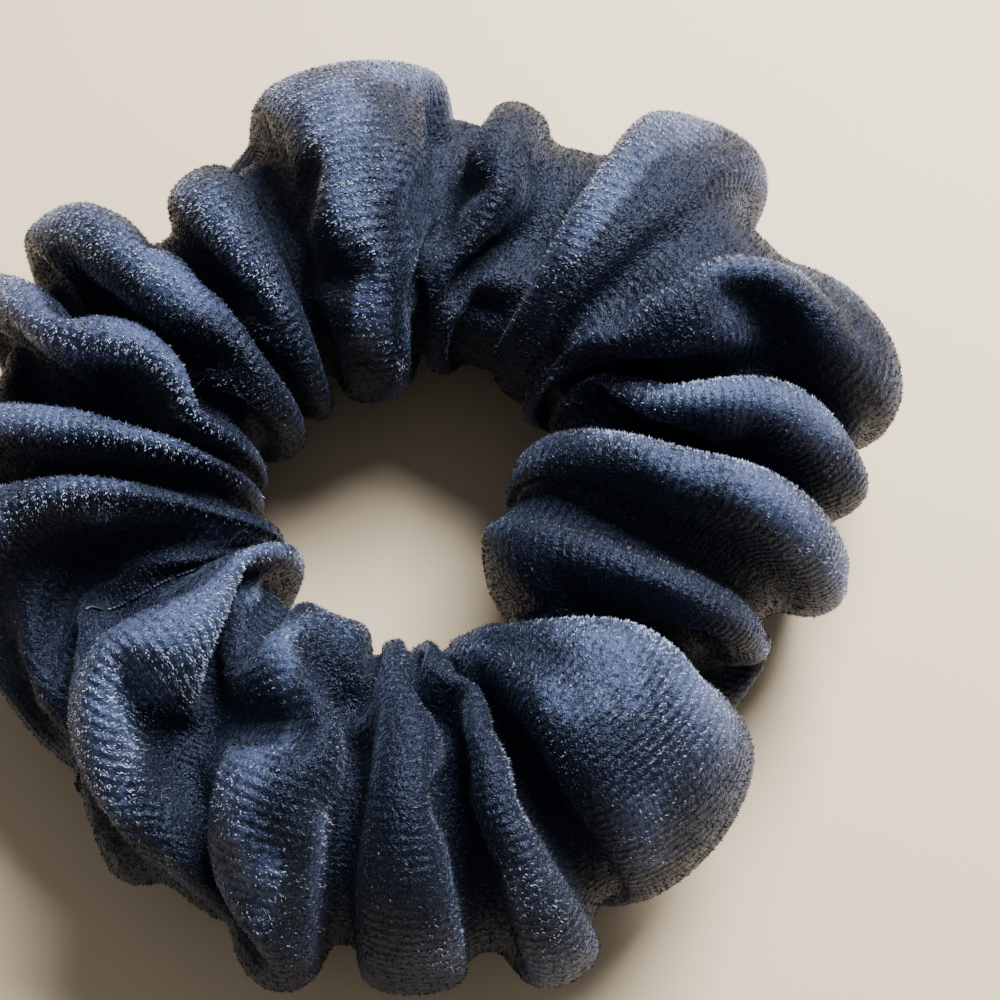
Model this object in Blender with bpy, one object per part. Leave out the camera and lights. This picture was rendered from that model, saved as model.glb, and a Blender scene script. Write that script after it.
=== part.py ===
"""A gathered velvet hair scrunchie, lying flat, as its five separate pieces.

A velvet strip is sewn into a tube, gathered on a ring of flat elastic and closed end to end.
Metres, +Z up. The origin is under the middle of the scrunchie, in the plane that it lies on.
"""

import math

import bmesh
import bpy

# Driving dimensions of the lying scrunchie.
RING_RADIUS = 0.0375            # axis of the ring to the middle of the velvet tube
TUBE_CENTRE_HEIGHT = 0.0185     # middle of the velvet tube above the table
TUBE_HALF_BOTTOM = 0.0205       # more than the centre's height, so the underside lies flat
VELVET_WALL = 0.0008
ELASTIC_WIDTH = 0.0070
ELASTIC_THICKNESS = 0.0010
ELASTIC_RADIUS = 0.0225         # axis of the ring to the middle of the elastic's thickness
THREAD_RADIUS = 0.00025
CLEARANCE = 0.0003              # kept between neighbouring pieces

# Half sizes of the tube's section, measured from its middle, in a valley and on a puff.
HALF_OUTWARD = (0.0135, 0.0195)
HALF_INWARD = (0.0185, 0.0200)
HALF_UPWARD = (0.0135, 0.0205)

# Where the gathered velvet stands up in puffs, in degrees round the ring, from +X towards +Y.
PUFF_ANGLES = (15, 50, 75, 103, 136, 160, 190, 229, 257, 279, 315, 347)

# The closing seam, where the ends of the velvet tube meet, lies pinched in one of the valleys.
SEAM_ANGLE = math.radians(209.5)
SEAM_SLOT = 0.0008              # between the tube's two ends, at the ring radius
SEAM_PINCH = 0.80               # of the section's size, beside the seam
SEAM_PINCH_FLAT = math.radians(4.0)
SEAM_PINCH_FADE = math.radians(11.0)

STEPS_ROUND_RING = 84
STEPS_ROUND_TUBE = 18

ELASTIC_LAP = 0.0120            # how far the elastic's ends lie over each other
ELASTIC_LAP_ANGLE = math.radians(20.0)
ELASTIC_STEPS = 72

LAP_STITCH_TURNS = 7
SEAM_STITCHES = 26
SEAM_STITCH_REACH = 0.0013      # each side of the slot
LONG_SEAM_STITCH = 0.0045
LONG_SEAM_RADIUS = 0.0285
LONG_SEAM_HEIGHT = 0.0030
LONG_SEAM_SWAY = 0.0007


def smooth_step(share):
    """0 to 1 with level ends."""
    share = min(max(share, 0.0), 1.0)
    return share * share * (3.0 - 2.0 * share)


def turn_between(first, second):
    """The angle from first to second, from -pi to pi."""
    return (second - first + math.pi) % (2.0 * math.pi) - math.pi


def fullness(angle):
    """1 on the crest of a puff and 0 in the valley halfway to the next one."""
    degrees = math.degrees(angle) % 360.0
    crests = sorted(PUFF_ANGLES)
    after = next((c for c in crests if c > degrees), crests[0] + 360)
    before = max((c for c in crests if c <= degrees), default=crests[-1] - 360)
    share = (degrees - before) / (after - before)
    return 0.5 + 0.5 * math.cos(2.0 * math.pi * share)


def pinch(angle):
    """Scale of the section beside the closing seam, 1 away from it."""
    away = abs(turn_between(SEAM_ANGLE, angle))
    share = (away - SEAM_PINCH_FLAT) / (SEAM_PINCH_FADE - SEAM_PINCH_FLAT)
    return SEAM_PINCH + (1.0 - SEAM_PINCH) * smooth_step(share)


def section_point(angle, round_tube, proud=0.0):
    """Radius and height of the velvet's outside. round_tube is 0 outward and a quarter turn on top."""
    full = fullness(angle)
    across, up = math.cos(round_tube), math.sin(round_tube)
    halves = HALF_OUTWARD if across > 0.0 else HALF_INWARD
    half_across = halves[0] + (halves[1] - halves[0]) * full
    if across > 0.0:
        half_across *= pinch(angle)  # the elastic holds the hole's side out, so only the rest pinches
    half_top = HALF_UPWARD[0] + (HALF_UPWARD[1] - HALF_UPWARD[0]) * full
    half_up = (half_top if up > 0.0 else TUBE_HALF_BOTTOM) * pinch(angle)
    radius = RING_RADIUS + (half_across + proud) * across
    height = TUBE_CENTRE_HEIGHT + (half_up + proud) * up
    return radius, max(height, 0.0)


def placed(radius, angle, height):
    return (radius * math.cos(angle), radius * math.sin(angle), height)


def fabric_material(name, colour, roughness):
    """A plain non-metal material."""
    material = bpy.data.materials.new(name)
    material.use_nodes = True
    shader = material.node_tree.nodes["Principled BSDF"]
    shader.inputs["Base Color"].default_value = (*colour, 1.0)
    shader.inputs["Roughness"].default_value = roughness
    shader.inputs["Metallic"].default_value = 0.0
    return material


def add_object(name, data, material):
    data.materials.append(material)
    obj = bpy.data.objects.new(name, data)
    bpy.context.scene.collection.objects.link(obj)
    return obj


def mesh_from_rings(name, rings, close_ends):
    """A mesh skinned over rings of points, each ring closed on itself."""
    bm = bmesh.new()
    loops = [[bm.verts.new(point) for point in ring] for ring in rings]
    for ring, following in zip(loops, loops[1:]):
        for i in range(len(ring)):
            j = (i + 1) % len(ring)
            bm.faces.new((ring[i], following[i], following[j], ring[j]))
    if close_ends:
        bm.faces.new(loops[0])
        bm.faces.new(reversed(loops[-1]))
    bmesh.ops.recalc_face_normals(bm, faces=bm.faces)
    mesh = bpy.data.meshes.new(name)
    bm.to_mesh(mesh)
    bm.free()
    return mesh


def velvet_cover():
    """The gathered tube: its outer skin from end to end, thickened inwards into cloth."""
    half_slot = 0.5 * SEAM_SLOT / RING_RADIUS
    start = SEAM_ANGLE + half_slot
    sweep = 2.0 * math.pi - 2.0 * half_slot
    rings = []
    for i in range(STEPS_ROUND_RING + 1):
        angle = start + sweep * i / STEPS_ROUND_RING
        ring = []
        for j in range(STEPS_ROUND_TUBE):
            radius, height = section_point(angle, 2.0 * math.pi * j / STEPS_ROUND_TUBE)
            ring.append(placed(radius, angle, height))
        rings.append(ring)
    mesh = mesh_from_rings("velvet_cover", rings, close_ends=False)
    # An open tube has no inside of its own, so its faces are turned to point away from its middle.
    first = mesh.polygons[0]
    middle_angle = start + 0.5 * sweep / STEPS_ROUND_RING
    tube_middle = placed(RING_RADIUS, middle_angle, TUBE_CENTRE_HEIGHT)
    outward = sum((c - m) * n for c, m, n in zip(first.center, tube_middle, first.normal))
    if outward < 0.0:
        mesh.flip_normals()
    mesh.shade_smooth()
    obj = add_object("velvet_cover", mesh, fabric_material("blue_grey_velvet", (0.050, 0.068, 0.115), 0.9))
    wall = obj.modifiers.new("wall", "SOLIDIFY")
    wall.thickness = VELVET_WALL
    wall.offset = -1.0
    return obj


def elastic_middle(travelled):
    """Angle and radius of the elastic's middle at a length from its inner end. The far end laps outside."""
    whole = 2.0 * math.pi * ELASTIC_RADIUS
    angle = SEAM_ANGLE + math.pi + travelled / ELASTIC_RADIUS
    step_out = ELASTIC_THICKNESS + CLEARANCE
    fade = ELASTIC_RADIUS * ELASTIC_LAP_ANGLE
    return angle, ELASTIC_RADIUS + step_out * smooth_step((travelled - whole + fade) / fade)


def elastic_band():
    """A flat elastic strip bent into a ring, its far end lapped over the outside of its first end."""
    length = 2.0 * math.pi * ELASTIC_RADIUS + ELASTIC_LAP
    rings = []
    for i in range(ELASTIC_STEPS + 1):
        angle, radius = elastic_middle(length * i / ELASTIC_STEPS)
        inside, outside = radius - 0.5 * ELASTIC_THICKNESS, radius + 0.5 * ELASTIC_THICKNESS
        low = TUBE_CENTRE_HEIGHT - 0.5 * ELASTIC_WIDTH
        high = TUBE_CENTRE_HEIGHT + 0.5 * ELASTIC_WIDTH
        corners = ((inside, low), (outside, low), (outside, high), (inside, high))
        rings.append([placed(r, angle, z) for r, z in corners])
    mesh = mesh_from_rings("elastic_band", rings, close_ends=True)
    return add_object("elastic_band", mesh, fabric_material("white_elastic", (0.80, 0.79, 0.76), 0.75))


def thread(name, points, material, closed):
    """A sewing thread along the points: a round bevelled curve."""
    curve = bpy.data.curves.new(name, "CURVE")
    curve.dimensions = "3D"
    curve.bevel_depth = THREAD_RADIUS
    curve.bevel_resolution = 1
    curve.use_fill_caps = True
    spline = curve.splines.new("POLY")
    spline.points.add(len(points) - 1)
    for spline_point, point in zip(spline.points, points):
        spline_point.co = (*point, 1.0)
    spline.use_cyclic_u = closed
    return add_object(name, curve, material)


def elastic_join_stitches(material):
    """Thread wound over both edges of the elastic's lap, which holds its ends together."""
    lap_half_angle = 0.35 * ELASTIC_LAP / ELASTIC_RADIUS
    lap_middle = SEAM_ANGLE + math.pi + 0.5 * ELASTIC_LAP / ELASTIC_RADIUS
    reach = THREAD_RADIUS + CLEARANCE
    inside = ELASTIC_RADIUS - 0.5 * ELASTIC_THICKNESS - reach
    outside = ELASTIC_RADIUS + 1.5 * ELASTIC_THICKNESS + CLEARANCE + reach
    low = TUBE_CENTRE_HEIGHT - 0.5 * ELASTIC_WIDTH - reach
    high = TUBE_CENTRE_HEIGHT + 0.5 * ELASTIC_WIDTH + reach
    corners = ((inside, low), (inside, high), (outside, high), (outside, low))
    points = []
    steps = LAP_STITCH_TURNS * len(corners)
    for i in range(steps):
        radius, height = corners[i % len(corners)]
        angle = lap_middle + lap_half_angle * (2.0 * i / (steps - 1) - 1.0)
        points.append(placed(radius, angle, height))
    return thread("elastic_join_stitches", points, material, closed=False)


def tube_seam_thread(material):
    """The lengthwise seam's thread, along the inside of the velvet tube, from one end to the other."""
    margin = 0.0025 / LONG_SEAM_RADIUS
    sweep = 2.0 * math.pi - 2.0 * margin
    stitches = round(sweep * LONG_SEAM_RADIUS / LONG_SEAM_STITCH)
    points = []
    for i in range(2 * stitches + 1):
        angle = SEAM_ANGLE + margin + sweep * i / (2 * stitches)
        sway = LONG_SEAM_SWAY * (-1) ** i
        lifted = TUBE_HALF_BOTTOM * (1.0 - pinch(angle))
        height = LONG_SEAM_HEIGHT + lifted + 0.5 * LONG_SEAM_SWAY * (1 + (-1) ** i)
        points.append(placed(LONG_SEAM_RADIUS + sway, angle, height))
    return thread("tube_seam_thread", points, material, closed=False)


def closing_seam_thread(material):
    """The thread that closes the tube: a zigzag round the pinched section, across the slot."""
    proud = THREAD_RADIUS + CLEARANCE
    half_turn = SEAM_STITCH_REACH / RING_RADIUS
    points = []
    for i in range(2 * SEAM_STITCHES):
        angle = SEAM_ANGLE + half_turn * (-1) ** i
        radius, height = section_point(angle, math.pi * i / SEAM_STITCHES, proud)
        points.append(placed(radius, angle, height))
    return thread("closing_seam_thread", points, material, closed=True)


def centre_pieces(cover, pieces):
    """Hangs the pieces on one empty, moved so that the cover's outline is centred on the origin."""
    xs = [vertex.co.x for vertex in cover.data.vertices]
    ys = [vertex.co.y for vertex in cover.data.vertices]
    whole = bpy.data.objects.new("scrunchie", None)
    whole.location = (-0.5 * (min(xs) + max(xs)), -0.5 * (min(ys) + max(ys)), 0.0)
    bpy.context.scene.collection.objects.link(whole)
    for piece in pieces:
        piece.parent = whole


def main():
    for obj in list(bpy.data.objects):
        bpy.data.objects.remove(obj)
    sewing_thread = fabric_material("blue_grey_thread", (0.090, 0.115, 0.175), 0.6)
    cover = velvet_cover()
    inner_pieces = [
        elastic_band(),
        elastic_join_stitches(sewing_thread),
        tube_seam_thread(sewing_thread),
        closing_seam_thread(sewing_thread),
    ]
    centre_pieces(cover, [cover, *inner_pieces])


main()
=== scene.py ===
"""The looks of a gathered velvet scrunchie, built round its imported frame."""
import math

import bpy
import numpy as np
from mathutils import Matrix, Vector


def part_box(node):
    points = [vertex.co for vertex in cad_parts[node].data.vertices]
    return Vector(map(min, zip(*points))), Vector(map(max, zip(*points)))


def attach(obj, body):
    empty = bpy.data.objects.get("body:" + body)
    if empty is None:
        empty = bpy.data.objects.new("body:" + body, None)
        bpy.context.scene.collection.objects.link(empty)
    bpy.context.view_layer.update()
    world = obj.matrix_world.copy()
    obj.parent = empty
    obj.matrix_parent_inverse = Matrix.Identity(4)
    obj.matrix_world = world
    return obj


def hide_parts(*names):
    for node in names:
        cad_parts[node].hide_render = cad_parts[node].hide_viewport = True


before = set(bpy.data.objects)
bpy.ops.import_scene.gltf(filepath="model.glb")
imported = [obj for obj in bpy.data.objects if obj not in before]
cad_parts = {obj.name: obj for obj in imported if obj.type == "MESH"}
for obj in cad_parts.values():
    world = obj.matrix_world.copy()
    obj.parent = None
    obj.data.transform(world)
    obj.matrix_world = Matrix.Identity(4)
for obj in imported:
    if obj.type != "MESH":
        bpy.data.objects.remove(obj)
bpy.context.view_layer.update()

# Sizes that everything else is worked out from, read from the frame, in metres.
COVER_LOW, COVER_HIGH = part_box("velvet_cover")
BAND_LOW, BAND_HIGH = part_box("elastic_band")
BAND_OUTER_RADIUS = 0.25 * (BAND_HIGH.x - BAND_LOW.x + BAND_HIGH.y - BAND_LOW.y)
BAND_ROOM = 0.0018              # the elastic's thickness and its gap to the cloth
BAND_INNER_RADIUS = BAND_OUTER_RADIUS - BAND_ROOM
OUTER_RADIUS = 0.25 * (COVER_HIGH.x - COVER_LOW.x + COVER_HIGH.y - COVER_LOW.y)
TUBE_RADIUS = 0.5 * COVER_HIGH.z
RING_OUTSET = 0.001             # of the folds' middle from the middle of the CAD's tube
RING_RADIUS = OUTER_RADIUS - TUBE_RADIUS + RING_OUTSET
FLOOR_GAP = 0.0009              # between the settled points and the table

# The strip of velvet, sewn into a tube: its cut size and how finely it is modelled.
CLOTH_WIDTH = 0.120
CLOTH_LENGTH = 0.400            # also the mean length that the rows of the upper half are pulled to
CLOTH_THICKNESS = 0.0007
COLUMNS = 200                   # along the strip, while it settles
ROWS = 40                       # round the tube, while it settles

# Each fold of the gathered cloth, in order round the ring. crest and valley are the ring angles, in
# degrees, of its ridge and of the valley after it: at the hole's side, on top and at the outside.
# high and low are how far that ridge and that valley are from the middle of the tube at the same
# places, where 1 is the tube's radius. full makes a crest broad and its valleys narrow over 0, and a
# crest sharp and its valleys wide under 0.
FOLDS = (
    dict(crest=(209, 221, 236), high=(1.20, 1.02, 0.86),
         valley=(222, 235, 250), low=(0.93, 0.30, 0.75), full=-0.3),
    dict(crest=(247, 255, 258), high=(1.06, 0.98, 1.02),
         valley=(261, 262, 263), low=(0.90, 0.44, 0.70), full=0.4),
    dict(crest=(266, 270, 270), high=(1.00, 1.00, 1.02),
         valley=(272, 279, 281), low=(0.93, 0.48, 0.78), full=0.5),
    dict(crest=(277, 285, 288), high=(0.98, 0.92, 1.00),
         valley=(281, 290, 295), low=(0.92, 0.36, 0.70), full=0.3),
    dict(crest=(287, 309, 306), high=(0.98, 0.98, 0.86),
         valley=(302, 328, 330), low=(0.86, 0.20, 0.18), full=0.7),
    dict(crest=(322, 332, 334), high=(1.25, 0.84, 0.62),
         valley=(346, 341, 339), low=(1.15, 0.50, 0.52), full=0.2),
    dict(crest=(372, 354, 348), high=(1.28, 1.04, 0.92),
         valley=(387, 362, 354), low=(0.88, 0.26, 0.64), full=0.1),
    dict(crest=(392, 371, 360), high=(0.95, 0.94, 0.92),
         valley=(395, 377, 363), low=(0.86, 0.40, 0.72), full=0.3),
    dict(crest=(399, 386, 376), high=(0.97, 1.04, 1.16),
         valley=(400, 396, 394), low=(0.95, 0.92, 0.85), full=0.3),
    dict(crest=(402, 409, 411), high=(0.97, 1.15, 1.22),
         valley=(433, 424, 427), low=(0.88, 0.40, 0.66), full=0.1),
    dict(crest=(441, 435, 436), high=(1.05, 0.82, 0.76),
         valley=(448, 444, 441), low=(0.90, 0.32, 0.58), full=0.1),
    dict(crest=(459, 457, 459), high=(1.18, 1.08, 1.05),
         valley=(484, 475, 478), low=(0.88, 0.42, 0.58), full=0.6),
    dict(crest=(491, 486, 487), high=(1.18, 0.96, 0.22),
         valley=(499, 494, 494), low=(0.88, 0.42, 0.28), full=0.3),
    dict(crest=(507, 504, 504), high=(1.15, 0.90, 1.12),
         valley=(519, 512, 509), low=(0.88, 0.26, 0.68), full=0.3),
    dict(crest=(531, 519, 513), high=(1.05, 1.00, 1.10),
         valley=(536, 528, 523), low=(0.90, 0.28, 0.66), full=-0.2),
    dict(crest=(540, 537, 534), high=(1.05, 1.00, 1.08),
         valley=(544, 542, 541), low=(0.92, 0.32, 0.66), full=-0.2),
    dict(crest=(562, 547, 546), high=(1.12, 1.02, 1.06),
         valley=(567, 561, 582), low=(0.98, 0.34, 0.60), full=-0.3),
)
STEEPEST = 1.75                 # radians that a fold's side turns to, past upright when over pi/2
MEANDER_POINTS = 201            # of the curve that one fold follows
FOLD_COLUMNS = 120              # of each designed fold, before the columns are spaced evenly
# The ring isn't quite round: it is pushed in towards the hole at one place.
DENT_ANGLE = 338.0
DENT_WIDTH = 22.0               # degrees
DENT_DEPTH = 0.0045

# How the cloth settles.
SETTLE_STEPS = 60
SETTLE_PASSES = 8               # times that the distances are put right in one step
KEEP_SHAPE = 0.02               # pull of each point towards its designed place, in one step
CLOTH_FULLNESS = 0.15           # 0 leaves the rows as designed, 1 gives them the cloth's full width
UNEVENNESS = 0.18               # of the lengths that the cloth keeps, as a share of them
UNEVEN_CELLS = (40, 6)          # soft patches of it, along the strip and round the tube
SHEAR_HOLD = 0.25               # where 1 is the hold on the lengths along the strip and across it
BEND_HOLD = 0.15
OVERSHOOT = 1.6                 # of each move that puts the distances right
DAMPING = 0.9                   # share of its speed that a point keeps from step to step
WEIGHT = 0.00002                # fall in one step, in metres
FASTEST = 0.001                 # metres in one step
LAYER_GAP = 0.0022              # between two layers of the settling cloth
LAYER_PUSH = 0.25               # share of a too narrow gap that each of its two points makes up
LAYER_REACH = 2.2               # how near two layers are, in gaps, to be kept apart
SEARCH_STEPS = 8                # steps between two searches for such layers
SAME_LAYER = (4, 3)             # columns and rows apart, within which points are of one layer
SEARCH_BLOCK = 1200             # points compared with all the others at a time
ELASTIC_HOLD = 0.25             # extra pull towards the designed place where the elastic gathers the cloth
HELD_ROWS = 2.5                 # how far from the hole's row that reaches

ELASTIC_RIB = 0.0009            # from one cord of the elastic to the next

PILE_BLADES = 190000
PILE_LENGTH = 0.00036
PILE_WIDTH = 0.00014
PILE_ROWS = 104                 # rows of pile round the tube
ROW_SPREAD = 0.22               # of the blades across their row, in rows
BLADE_TURN = 0.55               # radians, how unevenly the blades point along the strip
BLADE_RISE = (0.75, 0.35)       # radians above the cloth: the mean and its spread
LEAST_RISE, MOST_RISE = 0.15, 1.5
BLADE_TWIST = 1.2               # radians each way
RIDGE_REACH = 20                # columns of the finished cloth that a ridge is compared with, each way
RIDGE_HEIGHT = 0.015            # between the deepest valley and the highest ridge, which get the darkest painted shade and the lightest painted sheen
STREAK_CELLS = (46, 4)          # of uneven wear, along the strip and round the tube
STREAK_WEAR = 0.42
PATCH_CELLS = (110, 14)
PATCH_WEAR = 0.28

THREAD_RADIUS = 0.00018
STITCH_LENGTH = 0.0022
STITCH_GAP = 0.0007
CLOSING_SEAM_COLUMN = 2
LONG_SEAM_PLACE = math.radians(240.0)       # round the tube, low on the hole's side
LONG_SEAM_DEPTH = 0.0014                    # under the cloth's face

CAMERA_TARGET = (0.0106, -0.0006, TUBE_RADIUS)
CAMERA_ELEVATION = math.radians(70.0)
CAMERA_DISTANCE = 0.220
SENSOR_WIDTH = 36.0             # millimetres
CAMERA_ZOOM = 1.87              # the lens's focal length, in sensor widths


def meander(steepest, full):
    """One fold in section: how far along and how high it is, from valley to crest to valley, 0 to 1."""
    share = np.linspace(0.0, 1.0, MEANDER_POINTS)
    turned = share + full * np.sin(2.0 * math.pi * share) / (2.0 * math.pi)
    heading = steepest * np.sin(2.0 * math.pi * turned)
    middle = 0.5 * (heading[1:] + heading[:-1])
    along = np.concatenate([[0.0], np.cumsum(np.cos(middle))])
    up = np.concatenate([[0.0], np.cumsum(np.sin(middle))])
    return share, along / along[-1], up / up.max()


def side_weights(round_tube):
    """How much a point round the tube belongs to its outside, top, hole side and underside."""
    across, up = np.cos(round_tube), np.sin(round_tube)
    return {
        "out": np.clip(across, 0, 1) ** 2,
        "top": np.clip(up, 0, 1) ** 2,
        "hole": np.clip(-across, 0, 1) ** 2,
        "under": np.clip(-up, 0, 1) ** 2,
    }


def by_side(values, weights):
    """A value given at the hole's side, on top and outside, spread round the tube."""
    hole, top, out = values
    under = 0.5 * (hole + out)
    above = hole * weights["hole"] + top * weights["top"] + out * weights["out"]
    return above + under * weights["under"]


def fold_surface(fold, before, share, round_tube):
    """Points of one fold, for shares of it from valley to valley and angles round the tube."""
    weights = side_weights(round_tube)
    grid_share, along, up = meander(STEEPEST, fold["full"])
    x = np.interp(share, grid_share, along)[:, None]
    y = np.interp(share, grid_share, up)[:, None]
    rising = x <= 0.5
    crest = by_side(fold["crest"], weights)
    angle_before = by_side(before["valley"], weights)
    angle_after = by_side(fold["valley"], weights)
    angle = np.where(
        rising,
        angle_before + (crest - angle_before) * 2.0 * x,
        crest + (angle_after - crest) * (2.0 * x - 1.0),
    )
    low = np.where(rising, by_side(before["low"], weights), by_side(fold["low"], weights))
    radius = TUBE_RADIUS * (low + (by_side(fold["high"], weights) - low) * y)
    return np.radians(angle), radius


def ring_radius(angle):
    """The distance of the tube's middle from the axis at a ring angle in radians."""
    past_dent = (np.degrees(angle) - DENT_ANGLE + 180.0) % 360.0 - 180.0
    return RING_RADIUS - DENT_DEPTH * np.exp(-((past_dent / DENT_WIDTH) ** 2))


def designed_cover():
    """Points of the gathered tube, columns by rows by 3, with its columns evenly spaced on top."""
    round_tube = 2.0 * math.pi * np.arange(ROWS) / ROWS
    dense = []
    before = dict(FOLDS[-1])
    before["valley"] = tuple(v - 360 for v in FOLDS[-1]["valley"])
    for fold in FOLDS:
        share = np.linspace(0.0, 1.0, FOLD_COLUMNS, endpoint=False)
        angle, radius = fold_surface(fold, before, share, round_tube)
        across = ring_radius(angle) + radius * np.cos(round_tube)
        height = TUBE_RADIUS - FLOOR_GAP + radius * np.sin(round_tube)
        dense.append(np.stack([across * np.cos(angle), across * np.sin(angle), height], axis=-1))
        before = fold
    dense.append(dense[0][:1])
    points = np.concatenate(dense)
    steps = np.linalg.norm(np.diff(points, axis=0), axis=2)
    travelled = np.concatenate([[0.0], np.cumsum(steps[:, : ROWS // 2].mean(axis=1))])
    wanted = np.linspace(0.0, travelled[-1], COLUMNS + 1)
    place = np.interp(wanted, travelled, np.arange(len(travelled)))
    low = np.clip(place.astype(int), 0, len(points) - 2)
    part = (place - low)[:, None, None]
    out = points[low] * (1 - part) + points[low + 1] * part
    out[..., 2] = np.maximum(out[..., 2], FLOOR_GAP)
    return out


def smooth_noise(random, columns, rows, cells):
    """Soft unevenness from -1 to 1 over the cloth, joined up round the tube."""
    cells_along, cells_around = cells
    knots = random.uniform(-1.0, 1.0, (cells_along + 1, cells_around))
    along = np.linspace(0.0, cells_along, columns)
    around = np.arange(rows) * cells_around / rows
    i = np.clip(along.astype(int), 0, cells_along - 1)
    j = around.astype(int) % cells_around
    next_j = (j + 1) % cells_around
    x = (along - i)[:, None]
    y = (around - around.astype(int))[None, :]
    x = x * x * (3.0 - 2.0 * x)
    y = y * y * (3.0 - 2.0 * y)
    near = knots[i][:, j] * (1.0 - x) + knots[i + 1][:, j] * x
    far = knots[i][:, next_j] * (1.0 - x) + knots[i + 1][:, next_j] * x
    return near * (1.0 - y) + far * y


def cloth_links(along, around):
    """Pairs of cloth points, the distance each pair keeps, how firmly, and if it only pushes apart."""
    columns, rows = around.shape
    index = np.arange(columns * rows).reshape(columns, rows)
    above = np.roll(index, -1, axis=1)
    across = 0.5 * (along + np.roll(along, -1, axis=1))
    diagonal = np.hypot(across, 0.5 * (around[:-1] + around[1:]))
    links = (
        (index[:-1], index[1:], along, 1.0, False),
        (index, above, around, 1.0, False),
        (index[:-1], above[1:], diagonal, SHEAR_HOLD, False),
        (index[1:], above[:-1], diagonal, SHEAR_HOLD, False),
        (index[:-2], index[2:], along[:-1] + along[1:], BEND_HOLD, True),
        (index, np.roll(index, -2, axis=1), around + np.roll(around, -1, axis=1), BEND_HOLD, True),
    )
    return [(a.ravel(), b.ravel(), rest.ravel(), hold, one_way) for a, b, rest, hold, one_way in links]


def close_pairs(points, columns, rows, reach):
    """Pairs of points from different layers of the cloth that are within reach of each other."""
    found = []
    squares = (points**2).sum(axis=1)
    for first in range(0, len(points), SEARCH_BLOCK):
        last = first + SEARCH_BLOCK
        apart = squares[first:last, None] + squares[None] - 2.0 * points[first:last] @ points.T
        a, b = np.nonzero(apart < reach * reach)
        a = a + first
        a, b = a[a < b], b[a < b]
        columns_apart = np.abs(a // rows - b // rows)
        columns_apart = np.minimum(columns_apart, columns - 1 - columns_apart)
        rows_apart = np.abs(a % rows - b % rows)
        rows_apart = np.minimum(rows_apart, rows - rows_apart)
        other_layer = (columns_apart > SAME_LAYER[0]) | (rows_apart > SAME_LAYER[1])
        found.append(np.stack([a[other_layer], b[other_layer]]))
    return np.concatenate(found, axis=1)


def add_at(target, index, moves):
    """Adds each move to the point of its index, where an index may come more than once."""
    for axis in range(3):
        target[:, axis] += np.bincount(index, moves[:, axis], len(target))


def settle(start):
    """Lets the cloth settle: it is pulled to its lengths, resists sharp folds and pushes layers apart."""
    random = np.random.default_rng(3)
    columns, rows = start.shape[:2]
    top_length = np.linalg.norm(np.diff(start[:, : rows // 2], axis=0), axis=2).sum(axis=0).mean()
    along = np.linalg.norm(np.diff(start, axis=0), axis=2) * CLOTH_LENGTH / top_length
    around = np.linalg.norm(np.roll(start, -1, axis=1) - start, axis=2)
    around = around + (CLOTH_WIDTH / rows - around) * CLOTH_FULLNESS
    along *= 1.0 + UNEVENNESS * smooth_noise(random, columns, rows, UNEVEN_CELLS)[:-1]
    around *= 1.0 + UNEVENNESS * smooth_noise(random, columns, rows, UNEVEN_CELLS)
    links = cloth_links(along, around)

    count = columns * rows
    share_of_links = np.zeros(count)
    for a, b, _rest, hold, _one_way in links:
        share_of_links += hold * (np.bincount(a, minlength=count) + np.bincount(b, minlength=count))
    share_of_links = share_of_links[:, None]

    free = np.ones((columns, rows))
    free[[0, -1]] = 0.0
    free = free.reshape(-1, 1)
    from_hole_row = (np.arange(rows) - rows // 2) / HELD_ROWS
    keep = KEEP_SHAPE + ELASTIC_HOLD * np.exp(-(from_hole_row**2))
    by_band = np.tile(np.abs(from_hole_row) <= 1.0, columns)
    keep = np.tile(keep, columns).reshape(-1, 1) / SETTLE_PASSES

    home = start.reshape(-1, 3)
    points = home.copy()
    speed = np.zeros_like(points)
    pairs = None
    for step in range(SETTLE_STEPS):
        speed *= DAMPING
        speed[:, 2] -= WEIGHT
        fast = np.linalg.norm(speed, axis=1, keepdims=True)
        speed *= np.minimum(1.0, FASTEST / np.maximum(fast, 1e-12))
        before = points.copy()
        points = points + speed * free
        if step % SEARCH_STEPS == 0:
            pairs = close_pairs(points, columns, rows, LAYER_REACH * LAYER_GAP)
        for _ in range(SETTLE_PASSES):
            moves = np.zeros_like(points)
            for a, b, rest, hold, one_way in links:
                apart = points[b] - points[a]
                length = np.linalg.norm(apart, axis=1)
                excess = (length - rest) / np.maximum(length, 1e-9)
                if one_way:
                    excess = np.minimum(excess, 0.0)
                half_move = apart * (0.5 * hold * excess)[:, None]
                add_at(moves, a, half_move)
                add_at(moves, b, -half_move)
            points = points + OVERSHOOT * moves / share_of_links * free
            apart = points[pairs[1]] - points[pairs[0]]
            length = np.maximum(np.linalg.norm(apart, axis=1), 1e-9)
            push = apart * (LAYER_PUSH * np.maximum(LAYER_GAP - length, 0.0) / length)[:, None]
            moves = np.zeros_like(points)
            add_at(moves, pairs[1], push)
            add_at(moves, pairs[0], -push)
            points = points + moves * free
            points = points + (home - points) * keep
            points[:, 2] = np.maximum(points[:, 2], FLOOR_GAP)
            from_axis = np.hypot(points[:, 0], points[:, 1])
            pulled_in = np.where(by_band, np.minimum(1.0, BAND_INNER_RADIUS / from_axis), 1.0)
            points[:, :2] *= pulled_in[:, None]
        speed = points - before
    return points.reshape(start.shape)


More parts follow.
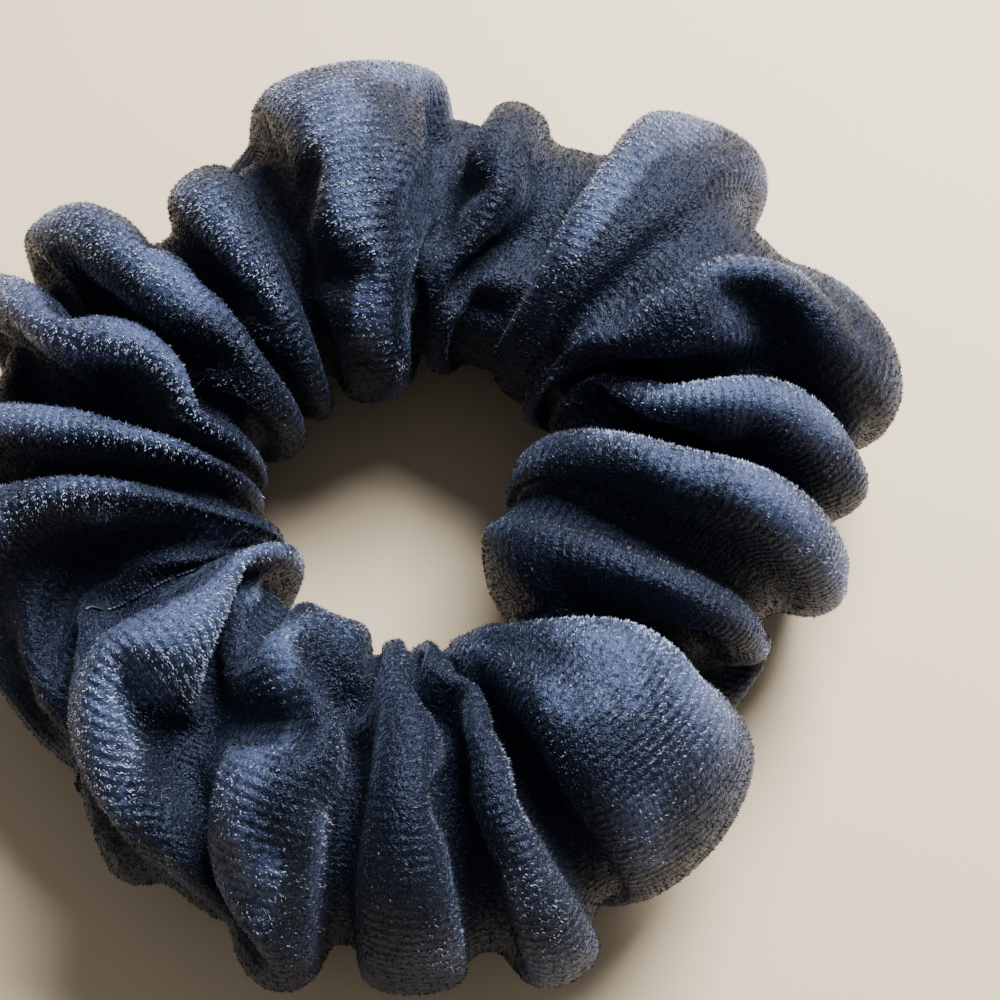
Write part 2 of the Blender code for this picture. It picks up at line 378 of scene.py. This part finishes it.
def twice_as_fine(points):
    """The same surface with a cubic curve's point between every two, along the strip and round the tube."""
    ends = np.concatenate([2 * points[:1] - points[1:2], points, 2 * points[-1:] - points[-2:-1]])
    between = (-ends[:-3] + 9 * ends[1:-2] + 9 * ends[2:-1] - ends[3:]) / 16
    columns, rows = points.shape[:2]
    longer = np.zeros((2 * columns - 1, rows, 3))
    longer[::2] = points
    longer[1::2] = between
    between = -np.roll(longer, 1, axis=1) + 9 * longer + 9 * np.roll(longer, -1, axis=1)
    between = (between - np.roll(longer, -2, axis=1)) / 16
    fine = np.zeros((2 * columns - 1, 2 * rows, 3))
    fine[:, ::2] = longer
    fine[:, 1::2] = between
    return fine


def surface_frame(points):
    """Unit directions along the strip and out of the cloth, at each point of a grid closed both ways."""
    along = np.roll(points, -1, axis=0) - np.roll(points, 1, axis=0)
    around = np.roll(points, -1, axis=1) - np.roll(points, 1, axis=1)
    outward = np.cross(along, around)
    outward /= np.maximum(np.linalg.norm(outward, axis=2, keepdims=True), 1e-12)
    along /= np.maximum(np.linalg.norm(along, axis=2, keepdims=True), 1e-12)
    return along, outward


def ridge_share(points):
    """How far each point stands out of the folds beside it, from 0 in a valley to 1 on a ridge."""
    angle = np.arctan2(points[..., 1], points[..., 0])
    across = np.hypot(points[..., 0], points[..., 1]) - ring_radius(angle)
    radius = np.hypot(across, points[..., 2] - TUBE_RADIUS)
    window = 2 * RIDGE_REACH + 1
    round_the_ring = np.concatenate([radius[-RIDGE_REACH:], radius, radius[:RIDGE_REACH]])
    total = np.cumsum(np.concatenate([np.zeros_like(radius[:1]), round_the_ring]), axis=0)
    beside = (total[window:] - total[:-window]) / window
    return np.clip(0.5 + (radius - beside) / RIDGE_HEIGHT, 0.0, 1.0)


def wear_and_fold_shade(points):
    """Painted shade and sheen of the folds, with wear, from 0 to 1: lightest on the ridges and darkest in the
    valleys, with streaks and patches where the pile is rubbed and crushed.
    """
    random = np.random.default_rng(5)
    columns, rows = points.shape[:2]
    streaks = smooth_noise(random, columns, rows, STREAK_CELLS)
    patches = smooth_noise(random, columns, rows, PATCH_CELLS)
    # ridge_share paints shade into the valleys and sheen onto the ridges; the streaks and patches are wear
    return np.clip(ridge_share(points) + STREAK_WEAR * streaks + PATCH_WEAR * patches, 0.0, 1.0)


def add_number(mesh, name, values):
    """Keeps one number for each vertex, for the material to read."""
    attribute = mesh.attributes.new(name, "FLOAT", "POINT")
    attribute.data.foreach_set("value", np.asarray(values, np.float32).ravel())


def ring_mesh(name, points):
    """A mesh over a grid that closes round the tube and round the ring, with the cloth's own UVs."""
    columns, rows = points.shape[:2]
    i, j = np.meshgrid(np.arange(columns), np.arange(rows), indexing="ij")
    right, above = (i + 1) % columns, (j + 1) % rows
    faces = np.stack([i * rows + j, right * rows + j, right * rows + above, i * rows + above], axis=-1)
    mesh = bpy.data.meshes.new(name)
    mesh.from_pydata(points.reshape(-1, 3).tolist(), [], faces.reshape(-1, 4).tolist())
    u = np.stack([i, i + 1, i + 1, i], axis=-1) / columns
    v = np.stack([j, j, j + 1, j + 1], axis=-1) / rows
    layer = mesh.uv_layers.new(name="cloth")
    layer.uv.foreach_set("vector", np.stack([u, v], axis=-1).astype(np.float32).ravel())
    # the folds' painted shade and sheen, with wear, for the velvet's colour
    add_number(mesh, "wear_and_shade", wear_and_fold_shade(points))
    mesh.update()
    mesh.shade_smooth()
    return mesh


def pile_mesh(name, points):
    """Short blades of pile in rows over the outside of the cloth, leaning along the strip."""
    random = np.random.default_rng(11)
    columns, rows = points.shape[:2]
    along, outward = surface_frame(points)
    step_along = np.linalg.norm(np.roll(points, -1, axis=0) - points, axis=2)
    step_around = np.linalg.norm(np.roll(points, -1, axis=1) - points, axis=2)
    # Most of the blades stand on the upper half, which is what is seen, and few underneath.
    seen = np.clip(1.15 + 0.85 * np.sin(2.0 * math.pi * np.arange(rows) / rows), 0.25, 1.7)
    chance = (step_along * step_around * seen[None, :]).ravel()
    cell = random.choice(columns * rows, PILE_BLADES, p=chance / chance.sum())
    u = cell // rows + random.random(PILE_BLADES)
    v = cell % rows + random.random(PILE_BLADES)
    row = np.floor(v * PILE_ROWS / rows)
    v = (row + 0.5 + ROW_SPREAD * random.normal(size=PILE_BLADES)) * rows / PILE_ROWS
    u, v = u % columns, v % rows
    i, j = u.astype(int) % columns, v.astype(int) % rows
    x, y = (u - i)[:, None], (v - v.astype(int))[:, None]
    right, above = (i + 1) % columns, (j + 1) % rows

    def at(field):
        near = field[i, j] * (1 - x) + field[right, j] * x
        far = field[i, above] * (1 - x) + field[right, above] * x
        return near * (1 - y) + far * y

    root, lean, normal = at(points), at(along), at(outward)
    # the folds' painted shade and sheen, with wear, at each blade's root, for the pile's colour
    wear_and_shade = at(wear_and_fold_shade(points)[..., None])
    side = np.cross(normal, lean)
    side /= np.maximum(np.linalg.norm(side, axis=1, keepdims=True), 1e-9)
    turn = random.normal(scale=BLADE_TURN, size=(PILE_BLADES, 1))
    mean_rise, rise_spread = BLADE_RISE
    rise = random.normal(loc=mean_rise, scale=rise_spread, size=(PILE_BLADES, 1))
    rise = np.clip(rise, LEAST_RISE, MOST_RISE)
    direction = (lean * np.cos(turn) + side * np.sin(turn)) * np.cos(rise) + normal * np.sin(rise)
    flat = np.cross(direction, normal)
    flat /= np.maximum(np.linalg.norm(flat, axis=1, keepdims=True), 1e-9)
    twist = random.uniform(-BLADE_TWIST, BLADE_TWIST, (PILE_BLADES, 1))
    edge = flat * np.cos(twist) + np.cross(direction, flat) * np.sin(twist)
    length = PILE_LENGTH * random.uniform(0.6, 1.25, (PILE_BLADES, 1))
    half = 0.5 * PILE_WIDTH * random.uniform(0.7, 1.3, (PILE_BLADES, 1))
    corners = np.stack([root - edge * half, root + edge * half, root + direction * length], axis=1)
    mesh = bpy.data.meshes.new(name)
    mesh.vertices.add(3 * PILE_BLADES)
    mesh.vertices.foreach_set("co", corners.astype(np.float32).ravel())
    mesh.loops.add(3 * PILE_BLADES)
    mesh.loops.foreach_set("vertex_index", np.arange(3 * PILE_BLADES, dtype=np.int32))
    mesh.polygons.add(PILE_BLADES)
    mesh.polygons.foreach_set("loop_start", np.arange(0, 3 * PILE_BLADES, 3, dtype=np.int32))
    add_number(mesh, "wear_and_shade", np.repeat(wear_and_shade, 3))
    mesh.update(calc_edges=True)
    return mesh


def stitches(name, path, length, gap, closed):
    """A line of short running stitches along the path, as one curve."""
    route = np.concatenate([path, path[:1]]) if closed else path
    travelled = np.concatenate([[0.0], np.cumsum(np.linalg.norm(np.diff(route, axis=0), axis=1))])
    data = bpy.data.curves.new(name, "CURVE")
    data.dimensions = "3D"
    data.bevel_depth = THREAD_RADIUS
    data.bevel_resolution = 2
    data.use_fill_caps = True
    start = 0.5 * gap
    while start + length < travelled[-1]:
        wanted = np.linspace(start, start + length, 6)
        spline = data.splines.new("POLY")
        spline.points.add(len(wanted) - 1)
        for point, at_length in zip(spline.points, wanted):
            place = [np.interp(at_length, travelled, route[:, axis]) for axis in range(3)]
            point.co = (*place, 1.0)
        start += length + gap
    return data


def add_object(name, data):
    obj = bpy.data.objects.new(name, data)
    bpy.context.scene.collection.objects.link(obj)
    return obj


def look_at(obj, target):
    obj.rotation_mode = "QUATERNION"
    obj.rotation_quaternion = (Vector(target) - obj.location).to_track_quat("-Z", "Y")


def camera():
    data = bpy.data.cameras.new("camera")
    obj = add_object("camera", data)
    target = Vector(CAMERA_TARGET)
    towards = Vector((0.0, -math.cos(CAMERA_ELEVATION), math.sin(CAMERA_ELEVATION)))
    obj.location = target + CAMERA_DISTANCE * towards
    look_at(obj, target)
    data.sensor_width = SENSOR_WIDTH
    data.lens = SENSOR_WIDTH * CAMERA_ZOOM
    data.clip_start = 0.01
    bpy.context.scene.camera = obj


def area_light(name, power, size, azimuth, elevation, distance, colour):
    """A soft square light that faces the scrunchie, its place given by angles in degrees round it."""
    data = bpy.data.lights.new(name, "AREA")
    data.energy = power
    data.size = size
    data.color = colour
    obj = add_object(name, data)
    turn, rise = math.radians(azimuth), math.radians(elevation)
    obj.location = distance * Vector(
        (math.cos(rise) * math.cos(turn), math.cos(rise) * math.sin(turn), math.sin(rise))
    )
    look_at(obj, (0.0, 0.0, 0.0))


def lights():
    world = bpy.data.worlds.new("studio")
    bpy.context.scene.world = world
    world.use_nodes = True
    world.node_tree.nodes["Background"].inputs["Color"].default_value = (1.0, 0.98, 0.95, 1.0)
    world.node_tree.nodes["Background"].inputs["Strength"].default_value = 0.27
    area_light(
        "window", power=17.0, size=0.32, azimuth=60.0, elevation=47.0, distance=0.60, colour=(1.0, 0.98, 0.95)
    )


def floor():
    mesh = bpy.data.meshes.new("floor")
    mesh.from_pydata([(-2, -2, 0), (2, -2, 0), (2, 2, 0), (-2, 2, 0)], [], [(0, 1, 2, 3)])
    obj = add_object("floor", mesh)
    material, tree, shader = new_material("pale_tabletop")
    place = node(tree, "ShaderNodeTexCoord").outputs["Object"]
    clouds = noise(tree, place, 14.0, 3.0)
    colour = blend(tree, clouds, (0.53, 0.43, 0.300), (0.61, 0.50, 0.350))
    tree.links.new(colour, shader.inputs["Base Color"])
    shader.inputs["Roughness"].default_value = 0.6
    mesh.materials.append(material)


def node(tree, kind, **inputs):
    """A new shader node with some of its inputs set, where a link is given as an output socket."""
    made = tree.nodes.new(kind)
    for name, value in inputs.items():
        socket = made.inputs[name.replace("_", " ")]
        if isinstance(value, bpy.types.NodeSocket):
            tree.links.new(value, socket)
        else:
            socket.default_value = value
    return made


def maths(tree, operation, first, second=0.0):
    """The result of a sum, product or other operation on two numbers or sockets."""
    made = tree.nodes.new("ShaderNodeMath")
    made.operation = operation
    for socket, value in zip(made.inputs, (first, second)):
        if isinstance(value, bpy.types.NodeSocket):
            tree.links.new(value, socket)
        else:
            socket.default_value = value
    return made.outputs[0]


def blend(tree, share, first, second):
    """A colour between two, by a share from 0 to 1."""
    made = tree.nodes.new("ShaderNodeMix")
    made.data_type = "RGBA"
    tree.links.new(share, made.inputs["Factor"])
    for name, value in (("A", first), ("B", second)):
        socket = next(s for s in made.inputs if s.name == name and s.type == "RGBA")
        if isinstance(value, bpy.types.NodeSocket):
            tree.links.new(value, socket)
        else:
            socket.default_value = (*value, 1.0)
    return next(s for s in made.outputs if s.type == "RGBA")


def noise(tree, place, scale, detail, **inputs):
    """Noise from 0 to 1, with scale cells in one metre."""
    return node(tree, "ShaderNodeTexNoise", Vector=place, Scale=scale, Detail=detail, **inputs).outputs["Fac"]


def ripple(tree, place, turns):
    """A wave from 0 to 1 with this many turns in each unit of place."""
    wave = maths(tree, "SINE", maths(tree, "MULTIPLY", place, 2.0 * math.pi * turns))
    wave = maths(tree, "MULTIPLY_ADD", wave, 0.5)
    wave.node.inputs[2].default_value = 0.5
    return wave


def lightness(tree, level, parts):
    """A share from 0 to 1: a level, and each part's difference from a half, times its amount."""
    share = level
    for amount, part in parts:
        difference = maths(tree, "SUBTRACT", part, 0.5)
        share = maths(tree, "ADD", maths(tree, "MULTIPLY", difference, amount), share)
    share.node.use_clamp = True
    return share


def new_material(name):
    material = bpy.data.materials.new(name)
    material.use_nodes = True
    return material, material.node_tree, material.node_tree.nodes["Principled BSDF"]


def wear_and_shade(tree):
    """The number for the folds' painted shade and sheen, with wear, that each vertex was given."""
    made = tree.nodes.new("ShaderNodeAttribute")
    made.attribute_name = "wear_and_shade"
    return made.outputs["Fac"]


def velvet_material():
    """Blue-grey velvet: ridges painted lighter as sheen and valleys painted darker as shade, with worn
    streaks, crushed patches, fine tufts and rows of pile, under a cool gloss.
    """
    material, tree, shader = new_material("blue_grey_velvet")
    place = node(tree, "ShaderNodeTexCoord").outputs["Object"]
    cloth = tree.nodes.new("ShaderNodeUVMap")
    cloth.uv_map = "cloth"
    around = node(tree, "ShaderNodeSeparateXYZ", Vector=cloth.outputs["UV"]).outputs["Y"]
    rows = ripple(tree, around, PILE_ROWS)
    patches = noise(tree, place, 95.0, 3.0, Distortion=0.6)
    tufts = noise(tree, place, 1500.0, 3.0, Roughness=0.7)
    # the folds' painted shade and sheen, with wear, lighten the ridges and darken the valleys; tufts, patches
    # and rows are the cloth's own tone
    share = lightness(tree, -0.90, ((2.8, tufts), (2.4, patches), (0.3, rows), (3.2, wear_and_shade(tree))))
    colour = blend(tree, share, (0.001, 0.002, 0.007), (0.042, 0.058, 0.122))
    tree.links.new(colour, shader.inputs["Base Color"])
    row_height = maths(tree, "MULTIPLY", maths(tree, "MULTIPLY", rows, wear_and_shade(tree)), 0.26)
    height = maths(tree, "ADD", row_height, tufts)
    bump = node(tree, "ShaderNodeBump", Height=height, Strength=1.0, Distance=0.0005)
    tree.links.new(bump.outputs["Normal"], shader.inputs["Normal"])
    shader.inputs["Roughness"].default_value = 0.36
    shader.inputs["Specular IOR Level"].default_value = 0.34
    shader.inputs["Specular Tint"].default_value = (0.50, 0.62, 1.0, 1)
    shader.inputs["Sheen Weight"].default_value = 0.25
    shader.inputs["Sheen Roughness"].default_value = 0.35
    shader.inputs["Sheen Tint"].default_value = (0.34, 0.44, 0.76, 1)
    return material


def pile_material():
    """The tips of the pile: each blade has its own shade, from navy to a pale blue grey, painted lighter on
    the ridges as sheen and darker in the valleys as shade, with wear.
    """
    material, tree, shader = new_material("velvet_pile")
    place = node(tree, "ShaderNodeTexCoord").outputs["Object"]
    shade = noise(tree, place, 2600.0, 1.0)
    patches = noise(tree, place, 120.0, 3.0, Distortion=0.8)
    # the folds' painted shade and sheen, with wear, lighten the blades on the ridges and darken those in the
    # valleys
    share = lightness(tree, -0.72, ((3.2, shade), (2.4, patches), (3.4, wear_and_shade(tree))))
    colour = blend(tree, share, (0.002, 0.004, 0.013), (0.30, 0.35, 0.50))
    tree.links.new(colour, shader.inputs["Base Color"])
    shader.inputs["Roughness"].default_value = 0.5
    shader.inputs["Specular IOR Level"].default_value = 0.35
    shader.inputs["Sheen Weight"].default_value = 0.3
    shader.inputs["Sheen Roughness"].default_value = 0.4
    shader.inputs["Sheen Tint"].default_value = (0.60, 0.66, 0.80, 1)
    return material


def thread_material():
    """Polyester thread: two twisted plies that show as fine slanting bands."""
    material, tree, shader = new_material("navy_thread")
    place = node(tree, "ShaderNodeTexCoord").outputs["Object"]
    plies = tree.nodes.new("ShaderNodeTexWave")
    plies.bands_direction = "DIAGONAL"
    plies.inputs["Scale"].default_value = 900.0
    plies.inputs["Distortion"].default_value = 1.5
    tree.links.new(place, plies.inputs["Vector"])
    colour = blend(tree, plies.outputs["Fac"], (0.004, 0.007, 0.018), (0.020, 0.028, 0.056))
    tree.links.new(colour, shader.inputs["Base Color"])
    bump = node(tree, "ShaderNodeBump", Height=plies.outputs["Fac"], Strength=0.5, Distance=0.0001)
    tree.links.new(bump.outputs["Normal"], shader.inputs["Normal"])
    shader.inputs["Roughness"].default_value = 0.45
    return material


def elastic_material():
    """Braided elastic: white cover yarns over rubber cords, which show as ribs along the band."""
    material, tree, shader = new_material("braided_elastic")
    place = node(tree, "ShaderNodeTexCoord").outputs["Object"]
    height = node(tree, "ShaderNodeSeparateXYZ", Vector=place).outputs["Z"]
    ribs = ripple(tree, height, 1.0 / ELASTIC_RIB)
    yarns = noise(tree, place, 1600.0, 2.0)
    share = maths(tree, "ADD", maths(tree, "MULTIPLY", ribs, 0.6), maths(tree, "MULTIPLY", yarns, 0.4))
    colour = blend(tree, share, (0.38, 0.36, 0.32), (0.80, 0.78, 0.73))
    tree.links.new(colour, shader.inputs["Base Color"])
    bump = node(tree, "ShaderNodeBump", Height=share, Strength=0.8, Distance=0.0003)
    tree.links.new(bump.outputs["Normal"], shader.inputs["Normal"])
    shader.inputs["Roughness"].default_value = 0.7
    return material


def cover_node(name, material):
    """Gives a CAD node that stays in the scene its finished material."""
    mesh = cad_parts[name].data
    mesh.materials.clear()
    mesh.materials.append(material)


def add_cover(points):
    """The sheet of velvet, with its wall on the inside, in place of the CAD's cover."""
    cover = add_object("velvet_cover_cloth", ring_mesh("velvet_cover_cloth", points))
    cover.data.materials.append(velvet_material())
    wall = cover.modifiers.new("wall", "SOLIDIFY")
    wall.thickness = CLOTH_THICKNESS
    wall.offset = -1.0
    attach(cover, "root")
    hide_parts("velvet_cover")
    return cover


def add_pile(points):
    """The velvet's pile, which lies on the cover."""
    pile = add_object("velvet_pile", pile_mesh("velvet_pile", points))
    pile.data.materials.append(pile_material())
    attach(pile, "root")
    return pile


def closing_seam(points, outward):
    """Stitches round the tube on its outside, where its two ends are sewn on each other."""
    path = points[CLOSING_SEAM_COLUMN] + THREAD_RADIUS * outward[CLOSING_SEAM_COLUMN]
    return stitches("closing_seam_stitches", path, STITCH_LENGTH, STITCH_GAP, closed=True)


def long_seam(points, outward):
    """Stitches along the strip on the tube's inside, where its two long edges are sewn together."""
    row = round(LONG_SEAM_PLACE / (2.0 * math.pi) * points.shape[1])
    path = (points - LONG_SEAM_DEPTH * outward)[:, row]
    return stitches("tube_seam_stitches", path, STITCH_LENGTH, STITCH_GAP, closed=False)


def add_seam(curve, replaced, material):
    """A line of stitches, in place of the CAD's plain thread."""
    seam = add_object(curve.name, curve)
    curve.materials.append(material)
    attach(seam, "root")
    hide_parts(replaced)
    return seam


camera()
lights()
floor()
cover_points = twice_as_fine(settle(designed_cover()))[:-1]
cover = add_cover(cover_points)
pile = add_pile(cover_points)
_along, outward = surface_frame(cover_points)
thread = thread_material()
seams = [
    add_seam(closing_seam(cover_points, outward), "closing_seam_thread", thread),
    add_seam(long_seam(cover_points, outward), "tube_seam_thread", thread),
]
cover_node("elastic_band", elastic_material())
cover_node("elastic_join_stitches", thread)
